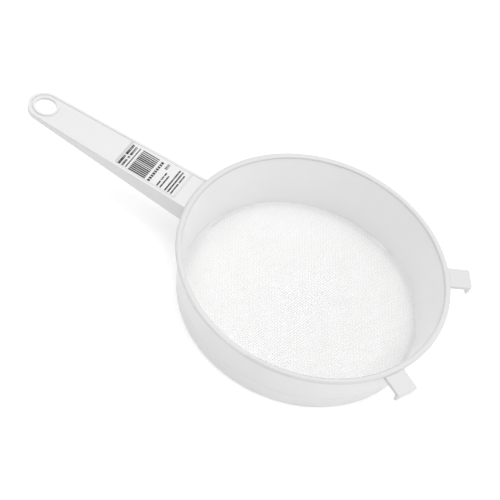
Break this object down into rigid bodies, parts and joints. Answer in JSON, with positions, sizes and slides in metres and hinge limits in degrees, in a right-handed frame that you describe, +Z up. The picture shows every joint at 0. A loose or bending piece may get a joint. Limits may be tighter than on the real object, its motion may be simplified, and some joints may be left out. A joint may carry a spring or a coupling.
{
  "type": "double sieve strainer",
  "caption": "Round plastic double sieve strainer with a tapered basket, a pull-off lower sieve, two rest hooks and a long channel handle with a hanging hole.",
  "frame": {"origin": "on the bowl's axis, in the plane that the lower sieve stands on", "axes": "+Z up along the bowl's axis, -X along the handle, +X towards the middle of the two hooks"},
  "size_m": [0.3797, 0.22, 0.053],
  "materials": {
    "white_plastic": "satin translucent polypropylene",
    "band_plastic": "satin translucent polypropylene",
    "coarse_cloth": "woven nylon monofilament, coarse",
    "fine_cloth": "woven nylon monofilament, fine",
    "label_film": null
  },
  "bodies": {
    "lower_sieve": {"lower_sieve_ring": "band_plastic", "fine_mesh": "fine_cloth", "fine_mesh_weld": "band_plastic"},
    "upper_sieve": {"basket_wall": "white_plastic", "rim_bead": "white_plastic", "coarse_mesh": "coarse_cloth", "coarse_mesh_weld": "white_plastic", "handle_channel": "white_plastic", "handle_edge_bead": "white_plastic", "hang_hole_ring": "white_plastic", "handle_label": "label_film", "hook_left": "white_plastic", "hook_right": "white_plastic"}
  },
  "joints": [
    {"name": "upper_sieve_lift", "type": "slide", "parent": "lower_sieve", "child": "upper_sieve", "axis": [0, 0, 1], "range_m": [0, 0.025]}
  ]
}
